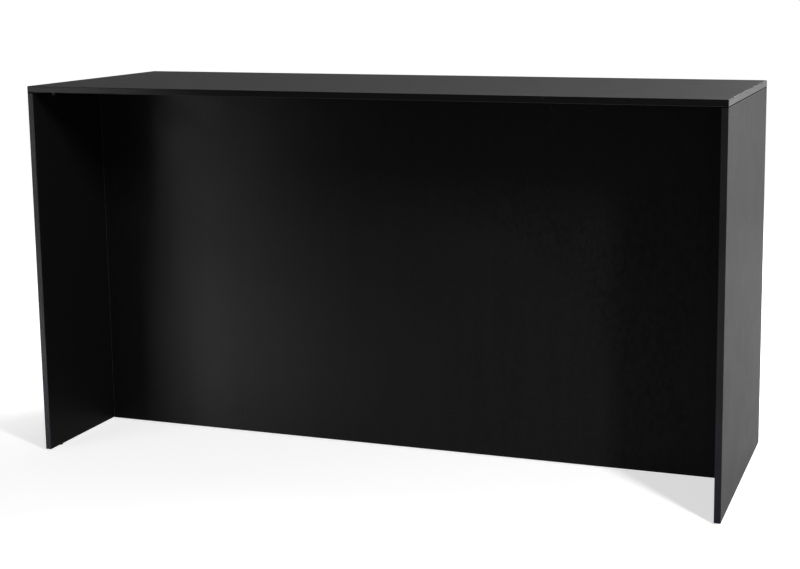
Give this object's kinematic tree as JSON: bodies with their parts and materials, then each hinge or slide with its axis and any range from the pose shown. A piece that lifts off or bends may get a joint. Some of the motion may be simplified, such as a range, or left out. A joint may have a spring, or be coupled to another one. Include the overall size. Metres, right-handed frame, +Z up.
{
  "type": "high table",
  "caption": "Black high table built of laminated boards: a long top on two full-depth gables, with a full-height modesty panel between them and levelling feet.",
  "frame": {"origin": "on the floor below the middle of the top, with the levelling feet wound in", "axes": "+X along the table's length, to the right seen from the front; +Y from the front edge to the rear edge; +Z up"},
  "size_m": [2, 0.7, 1.08],
  "materials": {
    "black_laminate": "satin black melamine face on particleboard, faint fine grain, light smudges",
    "edge_band": "satin black plastic edge band with rounded arrises",
    "housing_plastic": "matt black moulded plastic",
    "cam_metal": "dull yellow passivated die-cast zinc",
    "bolt_steel": "bright zinc plated steel",
    "dowel_wood": "plain beech with a straight grain",
    "sleeve_plastic": "dark moulded nylon",
    "foot_plastic": "matt black moulded plastic, scuffed underneath",
    "stud_steel": "bright zinc plated steel"
  },
  "bodies": {
    "table": {"tabletop_board": "black_laminate", "left_gable_board": "black_laminate", "right_gable_board": "black_laminate", "modesty_panel_board": "black_laminate", "tabletop_front_band": "edge_band", "tabletop_rear_band": "edge_band", "tabletop_left_band": "edge_band", "tabletop_right_band": "edge_band", "left_gable_front_band": "edge_band", "left_gable_rear_band": "edge_band", "left_gable_bottom_band": "edge_band", "right_gable_front_band": "edge_band", "right_gable_rear_band": "edge_band", "right_gable_bottom_band": "edge_band", "modesty_panel_bottom_band": "edge_band", "left_gable_connector_housings": "housing_plastic", "left_gable_connector_cams": "cam_metal", "left_gable_connector_bolts": "bolt_steel", "right_gable_connector_housings": "housing_plastic", "right_gable_connector_cams": "cam_metal", "right_gable_connector_bolts": "bolt_steel", "panel_end_connector_housings": "housing_plastic", "panel_end_connector_cams": "cam_metal", "panel_end_connector_bolts": "bolt_steel", "panel_top_connector_housings": "housing_plastic", "panel_top_connector_cams": "cam_metal", "panel_top_connector_bolts": "bolt_steel", "gable_dowels": "dowel_wood", "panel_end_dowels": "dowel_wood", "panel_top_dowels": "dowel_wood", "foot_sleeves": "sleeve_plastic"},
    "front_left_foot": {"front_left_foot_base": "foot_plastic", "front_left_foot_stud": "stud_steel"},
    "rear_left_foot": {"rear_left_foot_base": "foot_plastic", "rear_left_foot_stud": "stud_steel"},
    "front_right_foot": {"front_right_foot_base": "foot_plastic", "front_right_foot_stud": "stud_steel"},
    "rear_right_foot": {"rear_right_foot_base": "foot_plastic", "rear_right_foot_stud": "stud_steel"}
  },
  "joints": [
    {"name": "front_left_foot_level", "type": "slide", "parent": "table", "child": "front_left_foot", "axis": [0, 0, -1], "range_m": [0, 0.008]},
    {"name": "rear_left_foot_level", "type": "slide", "parent": "table", "child": "rear_left_foot", "axis": [0, 0, -1], "range_m": [0, 0.008]},
    {"name": "front_right_foot_level", "type": "slide", "parent": "table", "child": "front_right_foot", "axis": [0, 0, -1], "range_m": [0, 0.008]},
    {"name": "rear_right_foot_level", "type": "slide", "parent": "table", "child": "rear_right_foot", "axis": [0, 0, -1], "range_m": [0, 0.008]}
  ]
}
